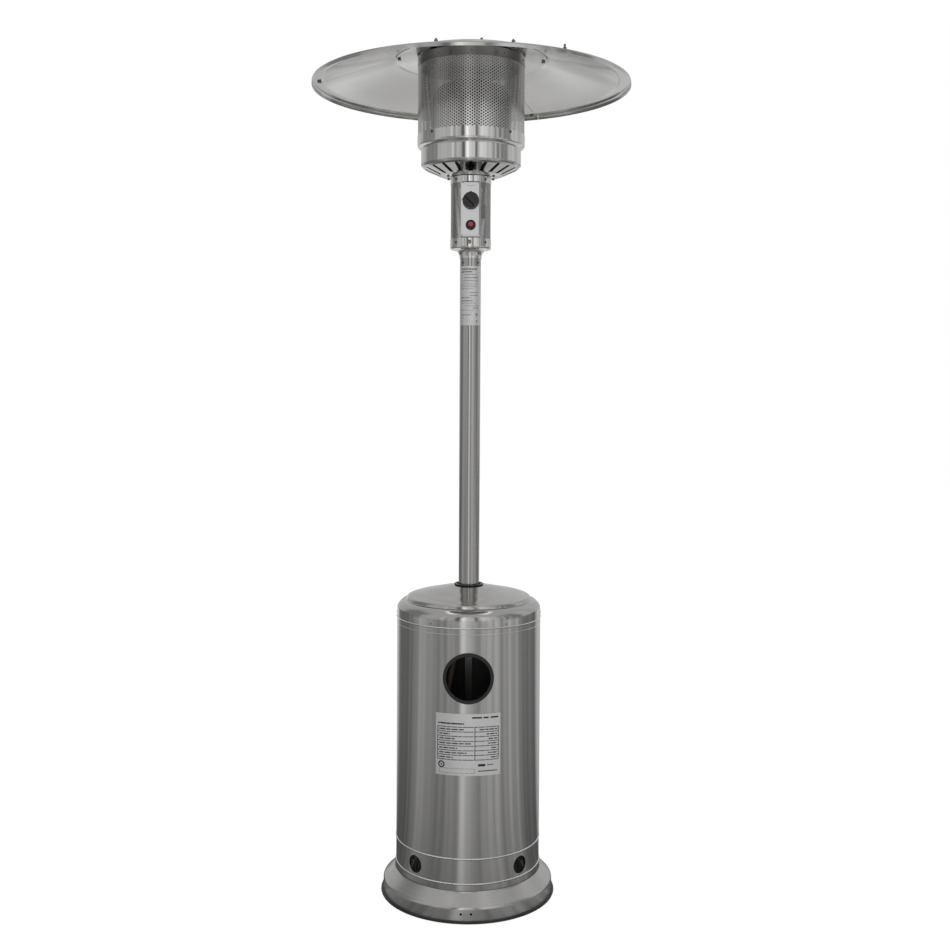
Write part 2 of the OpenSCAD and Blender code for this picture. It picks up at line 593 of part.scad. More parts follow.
module inlet_nut() color([0.78, 0.65, 0.3]) translate(reg)
    translate([0, -35.4, 0]) rotate([90, 0, 0]) difference() {
        union() {
            cylinder(r=11.2, h=29, $fn=64);
            cylinder(r=13.5, h=11, $fn=6);
        }
        translate([0, 0, -1]) cylinder(r=6+run_fit, h=40, $fn=48);
    }
module inlet_handwheel() color([0.1, 0.1, 0.1]) translate(reg)
    translate([0, -35.6, 0]) rotate([90, 0, 0]) difference() {
        union() {
            cylinder(r=17, h=10.6, $fn=64);
            for (a = [0:36:324]) rotate([0, 0, a]) translate([16.2, 0, 0])
                cylinder(r=2.8, h=10.6, $fn=24);
        }
        translate([0, 0, -1]) cylinder(r=13.5, h=20, $fn=6);
    }

// ---------- tank housing, slides up the post as one cover ----------
module housing_shell() color([0.6, 0.6, 0.61]) {
    r = housing_r;
    t = sheet_t;
    difference() {
        union() {
            turn([[r-t, 52], [r, 52], [r, seam_z-0.6], [r-0.9, seam_z],
                [r-1.4, seam_z+1], [r-1.4, seam_z+18],
                [r-1.4-t, seam_z+18], [r-1.4-t, seam_z],
                [r-t, seam_z-1.6]]);
            bead(r-0.7, 82.7, 2.2);
            bead(r-0.7, 145, 2.2);
            bead(r-0.4, 701.6, 0.9);
            // lapped seam at the rear
            turn([[r-0.1, 52.2], [r+0.6, 52.2], [r+0.6, seam_z-1],
                [r-0.1, seam_z-1]], 4, 88);
        }
        translate([0, 0, 40]) cylinder(r=r-t, h=660, $fn=180);
        around([45:90:315]) translate([150, 0, 112.3]) rotate([0, 90, 0])
            cylinder(r=vent_r, h=60, $fn=96);
        translate([0, -150, window_z]) rotate([90, 0, 0])
            cylinder(r=window_r+2.6, h=60, $fn=96);
    }
}
module lid() color([0.66, 0.66, 0.67]) {
    r = housing_r;
    out = concat([[r+0.3, seam_z]], smooth([[r+0.3, seam_z+13],
        [r+0.1, seam_z+20], [r-1, seam_z+27.4], [r-4, seam_z+32.6],
        [r-8, seam_z+37], [r-14, seam_z+41.6], [r-21, seam_z+44.6]], 3),
        smooth([[r-22.6, seam_z+45.2], [r-24, seam_z+47.4],
        [r-26.4, seam_z+50.2], [r-32, seam_z+54.4],
        [r-51, seam_z+60.3], [r-76, seam_z+65.3], [r-101, seam_z+71.1],
        [r-126, seam_z+75.6], [48, seam_z+78.2], [42, seam_z+79.5],
        [36.6, seam_z+80.6]], 3));
    turn(sheet(out, sheet_t));
    bead(r+0.1, seam_z+1.5, 1.5);
}
module lid_rivets() color([0.7, 0.7, 0.7]) around([-120:60:180])
    translate([housing_r+0.2, 0, seam_z+9]) rotate([0, 90, 0]) {
        rotate_extrude($fn=32) polygon([[0, 0], [2.2, 0], [1.9, 0.8],
            [1, 1.3], [0, 1.4]]);
        translate([0, 0, -4]) cylinder(r=1.2, h=4.1, $fn=24);
    }
// Bush in the lid that runs on the post
module lid_collar() color([0.07, 0.07, 0.07]) {
    z = seam_z;
    turn([[post_r+run_fit, z+70], [32, z+70], [39, z+73.5],
        [39, z+78.3], [35.95, z+78.3], [35.95, z+81.3], [38, z+81.3],
        [38.4, z+82.2], [38.2, z+83.6], [36.6, z+84.4], [32.2, z+84.4],
        [31.4, z+83.6], [31.2, z+79], [post_r+run_fit, z+79]]);
}
module window_trim() color([0.05, 0.05, 0.05]) difference() {
    intersection() {
        translate([0, -150, window_z]) rotate([90, 0, 0]) difference() {
            cylinder(r=window_r+8, h=60, $fn=128);
            translate([0, 0, -1]) cylinder(r=window_r, h=62, $fn=128);
        }
        ring(housing_r+2.2, housing_r-3.4, 500, 690, 180);
    }
    difference() {
        ring(housing_r, housing_r-sheet_t, 500, 690, 180);
        translate([0, -150, window_z]) rotate([90, 0, 0])
            cylinder(r=window_r+2.6, h=60, $fn=128);
    }
}
module rating_plate() color([0.8, 0.8, 0.8]) rotate([0, 0, -115.2])
    rotate_extrude(angle=50.4, $fn=180)
    polygon([[housing_r, 353.8], [housing_r+0.7, 353.8],
        [housing_r+0.7, 506.7], [housing_r, 506.7]]);

base_edge_trim();
base_dish();
tank_platform();
leg_rear();
leg_left();
leg_right();
frame_bolts();
post_socket();
post();
post_label();
post_screws();
head_flange();
control_box_cup();
control_box_guard();
control_panel();
control_box_collar();
control_box_screws();
earth_screw();
gas_valve();
valve_plunger();
valve_spindle();
control_knob();
igniter_body();
igniter_bezel();
igniter_button();
igniter_lead();
thermocouple();
pilot_tube();
pilot_bracket();
tilt_case();
tilt_pendulum();
gas_jet();
venturi_tube();
burner_dish();
lower_band();
upper_band();
head_screws();
burner_plate();
burner_dome();
emitter_screen();
emitter_cap();
reflector_studs();
reflector_centre();
reflector_nuts();
reflector_panel_right();
reflector_panel_rear();
reflector_panel_front();
seam_bolts();
gas_hose_upper();
gas_hose_lower();
hose_ferrule();
regulator_body();
inlet_handwheel();
inlet_nut();
housing_shell();
lid();
lid_rivets();
lid_collar();
window_trim();
rating_plate();
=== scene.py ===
import json
import math

import bmesh
import bpy
import numpy as np
from mathutils import Matrix, Vector


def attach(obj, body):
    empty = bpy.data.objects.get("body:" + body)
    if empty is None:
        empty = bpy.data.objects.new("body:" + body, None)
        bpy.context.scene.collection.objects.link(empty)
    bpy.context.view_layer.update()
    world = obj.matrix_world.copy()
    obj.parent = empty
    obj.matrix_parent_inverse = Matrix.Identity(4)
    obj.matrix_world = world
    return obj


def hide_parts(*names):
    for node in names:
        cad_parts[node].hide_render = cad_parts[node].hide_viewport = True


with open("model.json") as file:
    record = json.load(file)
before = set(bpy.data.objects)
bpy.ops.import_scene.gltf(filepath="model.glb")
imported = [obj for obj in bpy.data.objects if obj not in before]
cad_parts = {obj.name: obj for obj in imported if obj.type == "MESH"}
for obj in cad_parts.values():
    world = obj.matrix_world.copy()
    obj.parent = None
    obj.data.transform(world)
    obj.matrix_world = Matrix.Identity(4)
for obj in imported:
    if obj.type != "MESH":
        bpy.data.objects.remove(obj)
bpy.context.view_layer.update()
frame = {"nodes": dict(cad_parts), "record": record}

NODES = frame["nodes"]
SCENE = bpy.context.scene
MM = 0.001
TAU = 2 * math.pi


# ---------------------------------------------------------------- camera
def make_camera():
    data = bpy.data.cameras.new("camera")
    cam = bpy.data.objects.new("camera", data)
    SCENE.collection.objects.link(cam)
    data.sensor_fit = "HORIZONTAL"
    data.sensor_width = 36.0
    data.lens = 1213.9 / 950 * 36
    data.shift_x = (475 - 469.7) / 950
    data.shift_y = -(475 - 418.5) / 950
    data.clip_start, data.clip_end = 0.05, 60
    cam.matrix_world = (
        Matrix.Translation((0, -3.1434, 1.3224))
        @ Matrix.Rotation(math.pi / 2 - 0.0302, 4, "X")
        @ Matrix.Rotation(0.0051, 4, "Z")
    )
    SCENE.camera = cam


make_camera()

# ---------------------------------------------------------------- gas hose
HOSE = [
    (0, 0, 690), (0, 0, 676), (-4, 0, 660), (-13, 0, 642), (-24, 0, 626),
    (-33, 0, 609), (-40, 0, 588), (-46, 0, 560), (-51, 0, 525),
    (-56, 1, 475), (-60, 2, 420), (-62, 3, 360), (-63, 4, 300),
    (-63, 4, 240), (-63, 4, 170),
]


def spline_points(route, n):
    """The smooth curve of part.scad through the route's points, in metres."""
    p = np.array(route, float) * MM
    out = []
    for i in range(len(p) - 1):
        a, b = p[max(i - 1, 0)], p[i]
        c, d = p[i + 1], p[min(i + 2, len(p) - 1)]
        for j in range(n):
            t = j / n
            out.append(0.5 * (2 * b + (c - a) * t + (2 * a - 5 * b + 4 * c - d) * t * t
                              + (3 * b - a - 3 * c + d) * t ** 3))
    out.append(p[-1])
    return out


def make_hose():
    pts = spline_points(HOSE, 8)
    curve = bpy.data.curves.new("gas_hose", "CURVE")
    curve.dimensions = "3D"
    curve.bevel_depth = 0.0065
    curve.bevel_resolution = 8
    curve.use_fill_caps = True
    s = curve.splines.new("POLY")
    s.points.add(len(pts) - 1)
    for sp, q in zip(s.points, pts):
        sp.co = (q[0], q[1], q[2], 1)
    s.use_smooth = True
    ob = bpy.data.objects.new("gas_hose", curve)
    SCENE.collection.objects.link(ob)
    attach(ob, "root")
    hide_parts("gas_hose_lower")
    return ob


hose = make_hose()

# ---------------------------------------------------------------- materials
class Shade:
    """A small builder for one procedural material."""

    def __init__(self, name, base, rough, metallic=0.0):
        self.mat = bpy.data.materials.new(name)
        self.mat.use_nodes = True
        self.nt = self.mat.node_tree
        self.nt.nodes.clear()
        out = self.nt.nodes.new("ShaderNodeOutputMaterial")
        self.b = self.nt.nodes.new("ShaderNodeBsdfPrincipled")
        self.nt.links.new(self.b.outputs["BSDF"], out.inputs["Surface"])
        self.base = base
        self.rough = rough
        self.b.inputs["Base Color"].default_value = (*base, 1)
        self.b.inputs["Roughness"].default_value = rough
        self.b.inputs["Metallic"].default_value = metallic
        self.mat.diffuse_color = (*base, 1)
        self.obj = self.node("ShaderNodeTexCoord").outputs["Object"]

    def node(self, kind, **props):
        n = self.nt.nodes.new(kind)
        for k, v in props.items():
            setattr(n, k, v)
        return n

    def link(self, a, b):
        self.nt.links.new(a, b)

    def math(self, op, a, b=None, c=None):
        n = self.node("ShaderNodeMath", operation=op)
        for i, v in enumerate((a, b, c)):
            if v is None:
                continue
            if isinstance(v, (int, float)):
                n.inputs[i].default_value = v
            else:
                self.link(v, n.inputs[i])
        return n.outputs[0]

    def noise(self, scale, vec=None, detail=3.0, rough=0.55, size=1.0, distort=0.0):
        """Noise over object coordinates multiplied by scale, a number or (x, y, z)."""
        if isinstance(scale, (int, float)):
            scale = (scale, scale, scale)
        m = self.node("ShaderNodeVectorMath", operation="MULTIPLY")
        self.link(vec or self.obj, m.inputs[0])
        m.inputs[1].default_value = scale
        n = self.node("ShaderNodeTexNoise")
        n.inputs["Scale"].default_value = size
        n.inputs["Detail"].default_value = detail
        n.inputs["Roughness"].default_value = rough
        n.inputs["Distortion"].default_value = distort
        self.link(m.outputs[0], n.inputs["Vector"])
        return n.outputs["Fac"]

    def span(self, fac, lo, hi, a=0.0, b=1.0):
        """fac from a..b to lo..hi."""
        n = self.node("ShaderNodeMapRange")
        n.inputs["From Min"].default_value = a
        n.inputs["From Max"].default_value = b
        n.inputs["To Min"].default_value = lo
        n.inputs["To Max"].default_value = hi
        self.link(fac, n.inputs["Value"])
        return n.outputs["Result"]

    def mix(self, fac, a, b):
        n = self.node("ShaderNodeMix", data_type="RGBA")
        self.link(fac, n.inputs["Factor"])
        for sock, v in ((n.inputs["A"], a), (n.inputs["B"], b)):
            pass
        ia, ib = n.inputs[6], n.inputs[7]
        for sock, v in ((ia, a), (ib, b)):
            if isinstance(v, tuple):
                sock.default_value = (*v, 1)
            else:
                self.link(v, sock)
        return n.outputs[2]

    def color(self, socket):
        self.link(socket, self.b.inputs["Base Color"])

    def roughness(self, socket):
        self.link(socket, self.b.inputs["Roughness"])

    def bump(self, height, distance, strength=1.0, after=None):
        n = self.node("ShaderNodeBump")
        n.inputs["Distance"].default_value = distance
        n.inputs["Strength"].default_value = strength
        self.link(height, n.inputs["Height"])
        if after is not None:
            self.link(after, n.inputs["Normal"])
        self.link(n.outputs["Normal"], self.b.inputs["Normal"])
        return n.outputs["Normal"]


def dim(c, f):
    return tuple(min(1.0, x * f) for x in c)


def metal(name, base, rough, grain="ring", amount=1.0, spread=0.0, stain=0.5,
          dent=0.0, fine=1.0):
    """Sheet metal. grain: ring (turned round Z), up (lines along Z), radial or none."""
    s = Shade(name, base, rough, 1.0)
    if grain == "ring":
        g = s.noise((6 * fine, 6 * fine, 2600 * fine), detail=2)
        wide = s.noise((1.5, 1.5, 300), detail=2)
    elif grain == "up":
        g = s.noise((2200 * fine, 2200 * fine, 5 * fine), detail=2)
        wide = s.noise((160, 160, 1.2), detail=2)
    elif grain == "radial":
        n = s.node("ShaderNodeVectorMath", operation="MULTIPLY")
        s.link(s.obj, n.inputs[0])
        n.inputs[1].default_value = (1, 1, 0)
        u = s.node("ShaderNodeVectorMath", operation="NORMALIZE")
        s.link(n.outputs[0], u.inputs[0])
        g = s.noise(420 * fine, vec=u.outputs[0], detail=2)
        wide = s.noise(24, vec=u.outputs[0], detail=2)
    else:
        g = s.noise(900 * fine, detail=2)
        wide = s.noise(60, detail=2)
    cloud = s.noise(7, detail=5, rough=0.6)
    smear = s.noise((30, 30, 14), detail=4, rough=0.65, distort=0.6)
    r = s.math("ADD", s.span(g, -0.035 * amount, 0.035 * amount, 0.25, 0.75),
               s.span(wide, -0.02 * amount, 0.02 * amount, 0.25, 0.75))
    r = s.math("ADD", r, s.span(cloud, -0.03 * stain, 0.05 * stain, 0.3, 0.75))
    r = s.math("ADD", r, s.span(smear, 0.0, 0.10 * stain, 0.55, 0.8))
    r = s.math("ADD", r, rough)
    r = s.math("MAXIMUM", r, 0.03)
    s.roughness(r)
    c = s.mix(s.span(g, 0, 1, 0.3, 0.7), dim(base, 1 - 0.06 * amount), dim(base, 1 + 0.04 * amount))
    c2 = s.mix(s.span(smear, 0.0, 0.35 * stain, 0.55, 0.85), c, dim(base, 0.86))
    s.color(c2)
    h = s.math("MULTIPLY", g, amount)
    first = s.bump(h, 0.000015, 0.6)
    if dent > 0:
        s.bump(s.noise(9, detail=1), dent, 1.0, after=first)
    if spread > 0:
        s.b.inputs["Anisotropic"].default_value = spread
        if grain == "ring":
            s.b.inputs["Anisotropic Rotation"].default_value = 0.25
        t = s.node("ShaderNodeTangent", direction_type="RADIAL", axis="Z")
        s.link(t.outputs[0], s.b.inputs["Tangent"])
    return s.mat


def paint(name, base, rough, grit=1.0, spec=0.5, dust=0.5, coat=0.0, scale=900):
    """Paint, plastic or rubber with a fine skin, dull patches and some dust."""
    s = Shade(name, base, rough, 0.0)
    s.b.inputs["Specular IOR Level"].default_value = spec
    if coat:
        s.b.inputs["Coat Weight"].default_value = coat
        s.b.inputs["Coat Roughness"].default_value = 0.08
    g = s.noise(scale, detail=2)
    cloud = s.noise(16, detail=5, rough=0.6)
    fleck = s.noise(140, detail=4, rough=0.7)
    r = s.math("ADD", s.span(g, -0.04, 0.04, 0.3, 0.7), s.span(cloud, -0.05, 0.08, 0.3, 0.7))
    s.roughness(s.math("ADD", r, rough))
    c = s.mix(s.span(cloud, 0.0, 1.0, 0.3, 0.7), dim(base, 0.88), dim(base, 1.12))
    grey = tuple(0.75 * x + 0.25 * 0.35 for x in base)
    c = s.mix(s.span(fleck, 0.0, 0.30 * dust, 0.58, 0.8), c, grey)
    s.color(c)
    s.bump(g, 0.00003 * grit, 0.7)
    return s.mat


MATS = {
    "brushed_housing": metal("brushed_housing", (0.51, 0.505, 0.495), 0.19, "ring", 0.35, 1.0, 0.12),
    "brushed_lid": metal("brushed_lid", (0.54, 0.535, 0.52), 0.12, "ring", 0.4, 0.6, 0.2, 0.0001),
    "brushed_base": metal("brushed_base", (0.56, 0.555, 0.54), 0.22, "ring", 0.9, 0.8, 0.6, 0.0004),
    "brushed_post": metal("brushed_post", (0.475, 0.47, 0.455), 0.15, "ring", 0.5, 1.0, 0.2),
    "bright_steel": metal("bright_steel", (0.70, 0.695, 0.68), 0.06, "up", 0.3, 0.0, 0.3, 0.0003),
    "dish_steel": metal("dish_steel", (0.56, 0.555, 0.54), 0.12, "radial", 0.5, 0.0, 0.5, 0.0003),
    "perforated_steel": metal("perforated_steel", (0.76, 0.755, 0.74), 0.24, "up", 0.8, 0.0, 0.5),
    "cap_steel": metal("cap_steel", (0.36, 0.355, 0.345), 0.26, "ring", 0.8, 0.0, 0.8),
    "reflector_steel": metal("reflector_steel", (0.595, 0.59, 0.575), 0.13, "radial", 0.5, 0.0, 0.6, 0.0006),
    "panel_steel": metal("panel_steel", (0.66, 0.66, 0.66), 0.16, "up", 0.6, 0.0, 0.4),
    "fastener": metal("fastener", (0.22, 0.217, 0.212), 0.14, "none", 0.8, 0.0, 0.8),
    "frame_steel": metal("frame_steel", (0.66, 0.66, 0.65), 0.34, "up", 1.0, 0.0, 1.0),
    # fastener: a darkened steel, painted dark reflection on the chrome screw heads.
    "zinc": metal("zinc", (0.50, 0.50, 0.50), 0.38, "none", 1.2, 0.0, 1.0),
    "brass": metal("brass", (0.30, 0.27, 0.16), 0.34, "none", 0.8, 0.0, 1.0),
    "valve_alloy": metal("valve_alloy", (0.52, 0.48, 0.36), 0.36, "none", 1.0, 0.0, 1.0),
    "copper": metal("copper", (0.66, 0.36, 0.22), 0.28, "none", 0.8, 0.0, 1.0),
    "burnt_steel": metal("burnt_steel", (0.15, 0.135, 0.125), 0.5, "none", 1.2, 0.0, 1.4),
    "grey_paint": paint("grey_paint", (0.16, 0.16, 0.165), 0.45),
    "edge_trim": paint("edge_trim", (0.014, 0.014, 0.015), 0.38, 1.2, 0.5, 0.6),
    "black_plastic": paint("black_plastic", (0.016, 0.016, 0.017), 0.22, 0.8, 0.5, 0.4),
    "black_rubber": paint("black_rubber", (0.018, 0.018, 0.018), 0.46, 1.2, 0.45, 0.8),
    "red_plastic": paint("red_plastic", (0.55, 0.055, 0.045), 0.22, 0.5, 0.5, 0.2, 0.3),
    "lead_sleeve": paint("lead_sleeve", (0.60, 0.56, 0.48), 0.45),
    "hose": paint("hose", (0.34, 0.22, 0.195), 0.42, 1.0, 0.45, 0.6),
    "label": metal("label", (0.84, 0.84, 0.835), 0.50, "none", 0.5, 0.0, 0.4),
}
# A dark, dull steel for inner and back faces: painted shade.
INNER_PAINTED_SHADE = metal("inner_painted_shade", (0.17, 0.168, 0.165), 0.55, "none", 0.8, 0.0, 1.0)
INK = paint("ink", (0.035, 0.035, 0.035), 0.5, 0.4, 0.4, 0.3)


def pressed_ring(mat, r0, stops, depth):
    """A rolled ring pressed in round Z: height against radius in metres."""
    nt = mat.node_tree
    b = next(n for n in nt.nodes if n.type == "BSDF_PRINCIPLED")
    before = b.inputs["Normal"].links[0].from_socket
    tc = nt.nodes.new("ShaderNodeTexCoord")
    flat = nt.nodes.new("ShaderNodeVectorMath")
    flat.operation = "MULTIPLY"
    flat.inputs[1].default_value = (1, 1, 0)
    nt.links.new(tc.outputs["Object"], flat.inputs[0])
    ln = nt.nodes.new("ShaderNodeVectorMath")
    ln.operation = "LENGTH"
    nt.links.new(flat.outputs[0], ln.inputs[0])
    span = nt.nodes.new("ShaderNodeMapRange")
    span.inputs["From Min"].default_value = r0
    span.inputs["From Max"].default_value = stops[-1][0]
    nt.links.new(ln.outputs["Value"], span.inputs["Value"])
    ramp = nt.nodes.new("ShaderNodeValToRGB")
    ramp.color_ramp.interpolation = "B_SPLINE"
    width = stops[-1][0] - r0
    els = ramp.color_ramp.elements
    while len(els) < len(stops):
        els.new(0.5)
    for el, (r, v) in zip(els, stops):
        el.position = (r - r0) / width
        el.color = (v, v, v, 1)
    nt.links.new(span.outputs["Result"], ramp.inputs[0])
    n = nt.nodes.new("ShaderNodeBump")
    n.inputs["Distance"].default_value = depth
    n.inputs["Strength"].default_value = 1.0
    nt.links.new(ramp.outputs["Color"], n.inputs["Height"])
    nt.links.new(before, n.inputs["Normal"])
    nt.links.new(n.outputs["Normal"], b.inputs["Normal"])


pressed_ring(MATS["brushed_lid"], 0.1500, [(0.1500, 0.55), (0.1545, 0.85), (0.1575, 1.0),
             (0.1605, 0.75), (0.1630, 0.05), (0.1650, 0.0), (0.1680, 0.45), (0.1720, 0.5)],
             0.0035)


def dress(obj, slot):
    obj.data.materials.clear()
    obj.data.materials.append(MATS[slot] if isinstance(slot, str) else slot)


SLOT_OF = {d["node"]: d["material_slot"] for d in frame["record"]["subparts"]}
for node_name, node_obj in NODES.items():
    dress(node_obj, SLOT_OF[node_name])
dress(hose, "hose")


def shade_inside_faces(node, test):
    """Inner faces of a polished sheet in a dark, dull steel: the darkness is painted shade where little
    light gets in.
    """
    ob = NODES[node]
    ob.data.materials.append(INNER_PAINTED_SHADE)
    for poly in ob.data.polygons:
        if test(poly.center, poly.normal):
            poly.material_index = 1


def faces_axis(c, n):
    return c.x * n.x + c.y * n.y < -0.02 * math.hypot(c.x, c.y)


# Painted shade on the inner faces of the housing, lid, base and control box, and on the back of the control
# panel.
shade_inside_faces("housing_shell", faces_axis)
shade_inside_faces("lid", lambda c, n: n.z < -0.1 or (faces_axis(c, n) and n.z < 0.2))
shade_inside_faces("base_dish", lambda c, n: faces_axis(c, n) and c.z < 0.064 or n.z < -0.2)
shade_inside_faces("control_box_cup", faces_axis)
shade_inside_faces("control_box_collar", faces_axis)
shade_inside_faces("control_panel", lambda c, n: n.y > 0.3)


def paint_highlight_faces(node, mat, test):
    """Narrow faces in a lighter, smoother steel, a painted highlight, which read as thin bright lines."""
    ob = NODES[node]
    ob.data.materials.append(mat)
    slot = len(ob.data.materials) - 1
    for poly in ob.data.polygons:
        if test(poly.center, poly.normal):
            poly.material_index = slot


# Near-white steel on a narrow band of the lid's rim, on upward faces of the housing's beads and on the
# control panel's left and lower flanks: painted highlights.
BEAD_PAINTED_HIGHLIGHT = metal("bead_painted_highlight", (0.95, 0.945, 0.93), 0.34, "none", 0.4, 0.0, 0.2)
FLANK_PAINTED_HIGHLIGHT = metal("flank_painted_highlight", (0.93, 0.93, 0.925), 0.20, "none", 0.3, 0.0, 0.2)
paint_highlight_faces("lid", BEAD_PAINTED_HIGHLIGHT, lambda c, n: 0.7155 < c.z < 0.7195 and math.hypot(c.x, c.y) > 0.1863)
paint_highlight_faces("housing_shell", BEAD_PAINTED_HIGHLIGHT, lambda c, n: n.z > 0.25 and math.hypot(c.x, c.y) > 0.1855
       and (c.z < 0.2 or 0.6995 < c.z < 0.7035))
paint_highlight_faces("control_panel", FLANK_PAINTED_HIGHLIGHT, lambda c, n: n.y < -0.2 and (n.x < -0.35 or n.z < -0.35))


# ---------------------------------------------------------------- mesh helpers
def mesh_object(name, verts, faces, slot, body, mat=None, smooth=True, sharp=35):
    me = bpy.data.meshes.new(name)
    me.from_pydata([tuple(v) for v in verts], [], [tuple(f) for f in faces])
    me.validate()
    ob = bpy.data.objects.new(name, me)
    SCENE.collection.objects.link(ob)
    if smooth:
        me.polygons.foreach_set("use_smooth", [True] * len(me.polygons))
        me.set_sharp_from_angle(angle=math.radians(sharp))
    me.materials.append(mat or MATS[slot])
    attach(ob, body)
    return ob


def perforated_tube(name, slot, body, radius, thick, z0, z1, rows, cols, hole, a0=0.0,
                    span=TAU, margin=0.003, sides=8):
    """A tube of sheet with staggered round holes. The holes' cells are diamonds that
    share whole edges, so the sheet is one closed surface without loose joints."""
    closed = abs(span - TAU) < 1e-6
    da = span / cols / 2
    lo, hi = z0 + margin, z1 - margin
    dz = (hi - lo) / (rows + 1)
    n_a = 2 * cols
    verts, index, faces = [], {}, []

    def grid(i, j):
        """Corner of the diamonds at column i (half cells) and row j."""
        key = (i % n_a if closed else i, j)
        if key not in index:
            index[key] = len(verts)
            verts.append((a0 + i * da, lo + j * dz))
        return index[key]

    def between(p, q):
        key = ("m", min(p, q), max(p, q))
        if key not in index:
            index[key] = len(verts)
            (pa, pz), (qa, qz) = verts[p], verts[q]
            if abs(pa - qa) > math.pi:
                pa, qa = max(pa, qa), min(pa, qa) + TAU
            verts.append(((pa + qa) / 2, (pz + qz) / 2))
        return index[key]

    for j in range(1, rows + 1):
        for i in range(n_a + (0 if closed else 1)):
            if (i + j) % 2:
                continue
            zc, ac = lo + j * dz, a0 + i * da
            if not closed and i in (0, n_a):
                # half a diamond at the sheet's side edge
                k = 1 if i == 0 else n_a - 1
                tri = (grid(i, j - 1), grid(k, j), grid(i, j + 1))
                ring = (tri[0], between(tri[0], tri[1]), tri[1], between(tri[1], tri[2]), tri[2])
                faces.append(ring if i == 0 else ring[::-1])
                continue
            c = [grid(i + 1, j), grid(i, j + 1), grid(i - 1, j), grid(i, j - 1)]
            b = []
            for q in range(4):
                b += [c[q], between(c[q], c[(q + 1) % 4])]
            h = []
            for q in range(8):
                t = TAU * q / 8
                h.append(len(verts))
                verts.append((ac + hole * math.cos(t) / radius, zc + hole * math.sin(t)))
            for q in range(8):
                faces.append((b[q], b[(q + 1) % 8], h[(q + 1) % 8], h[q]))
    # plain strips above and below the holes
    for j, edge, up in ((0, z0, False), (rows + 1, z1, True)):
        base = {}

        def rim(i):
            key = i % n_a if closed else i
            if key not in base:
                base[key] = len(verts)
                verts.append((a0 + i * da, edge))
            return base[key]

        row = 0 if not up else rows + 1
        inner = 1 if not up else rows
        first = next(i for i in range(2) if ((i % n_a, row) in index))
        for i in range(first, n_a + (first if closed else 1) - (0 if closed else 1), 2):
            if not closed and i + 2 > n_a:
                break
            g0, g2, g1 = grid(i, row), grid(i + 2, row), grid(i + 1, inner)
            m0, m2 = between(g0, g1), between(g1, g2)
            f = (rim(i), rim(i + 2), g2, m2, g1, m0, g0)
            faces.append(f if not up else f[::-1])
        if not closed and first == 1:
            g1, g0 = grid(1, row), grid(0, inner)
            f = (rim(0), rim(1), g1, between(g1, g0), g0)
            faces.append(f if not up else f[::-1])
            g1, g0 = grid(n_a - 1, row), grid(n_a, inner)
            f = (rim(n_a - 1), rim(n_a), g0, between(g0, g1), g1)
            faces.append(f if not up else f[::-1])
    n = len(verts)
    pts = [(radius * math.cos(a), radius * math.sin(a), z) for a, z in verts]
    inner_r = radius - thick
    pts += [(inner_r * math.cos(a), inner_r * math.sin(a), z) for a, z in verts]
    edges = set()
    for f in faces:
        for p, q in zip(f, f[1:] + f[:1]):
            edges.add((p, q))
    rims = [(p, q) for (p, q) in edges if (q, p) not in edges]
    rims.sort()
    out = list(faces) + [tuple(x + n for x in f[::-1]) for f in faces]
    out += [(q, p, p + n, q + n) for p, q in rims]
    ob = mesh_object(name, pts, out, slot, body)
    me = ob.data
    nf = len(faces)
    normals = [None] * len(me.loops)
    for poly in me.polygons:
        side = 1 if poly.index < nf else (-1 if poly.index < 2 * nf else 0)
        for li in poly.loop_indices:
            if side:
                v = me.vertices[me.loops[li].vertex_index].co
                r = math.hypot(v.x, v.y)
                normals[li] = (side * v.x / r, side * v.y / r, 0.0)
            else:
                normals[li] = tuple(poly.normal)
    me.normals_split_custom_set(normals)
    return ob


def on_tube(name, slot, body, radius, shapes, mat, thick=0.00004):
    """Flat printed shapes on a tube: each is a list of (angle in degrees from the front,
    z in mm) outlines of convex polygons."""
    verts, faces = [], []
    for shape in shapes:
        base = len(verts)
        for a, z in shape:
            t = math.radians(a - 90)
            verts.append((radius * math.cos(t), radius * math.sin(t), z * MM))
        faces.append(tuple(range(base, base + len(shape))))
    return mesh_object(name, verts, faces, slot, body, mat, smooth=False)


def bar(a0, a1, z0, z1, step=3.0):
    """A printed bar from angle a0 to a1, in pieces that follow the tube."""
    n = max(1, math.ceil((a1 - a0) / step))
    e = [a0 + (a1 - a0) * i / n for i in range(n + 1)]
    return [[(p, z0), (q, z0), (q, z1), (p, z1)] for p, q in zip(e, e[1:])]


def disc(ac, zc, r, radius_mm, sides=24, hole=0.0):
    """A printed disc or ring on a tube of that radius in mm."""
    def at(rr, t):
        return (ac + math.degrees(rr * math.cos(t) / radius_mm), zc + rr * math.sin(t))
    ts = [TAU * i / sides for i in range(sides + 1)]
    if hole <= 0:
        return [[at(r, t) for t in ts[:-1]]]
    return [[at(hole, p), at(r, p), at(r, q), at(hole, q)] for p, q in zip(ts, ts[1:])]


# ---------------------------------------------------------------- perforated sheets
screen = perforated_tube("emitter_screen_holes", "perforated_steel", "root", 0.1369, 0.0008,
                         1.936, 2.148, 56, 77, 0.0022, margin=0.0035)
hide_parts("emitter_screen")

GUARD_HALF = math.asin(25.3 / 51.3)
guard = perforated_tube("control_box_guard_holes", "perforated_steel", "root", 0.0513, 0.0008,
                        1.681, 1.838, 75, 59, 0.00100, a0=-math.pi / 2 + GUARD_HALF,
                        span=TAU - 2 * GUARD_HALF, margin=0.002)
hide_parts("control_box_guard")
guard.data.materials[0] = metal("guard_steel", (0.50, 0.495, 0.485), 0.26, "up", 0.8, 0.0, 0.5)

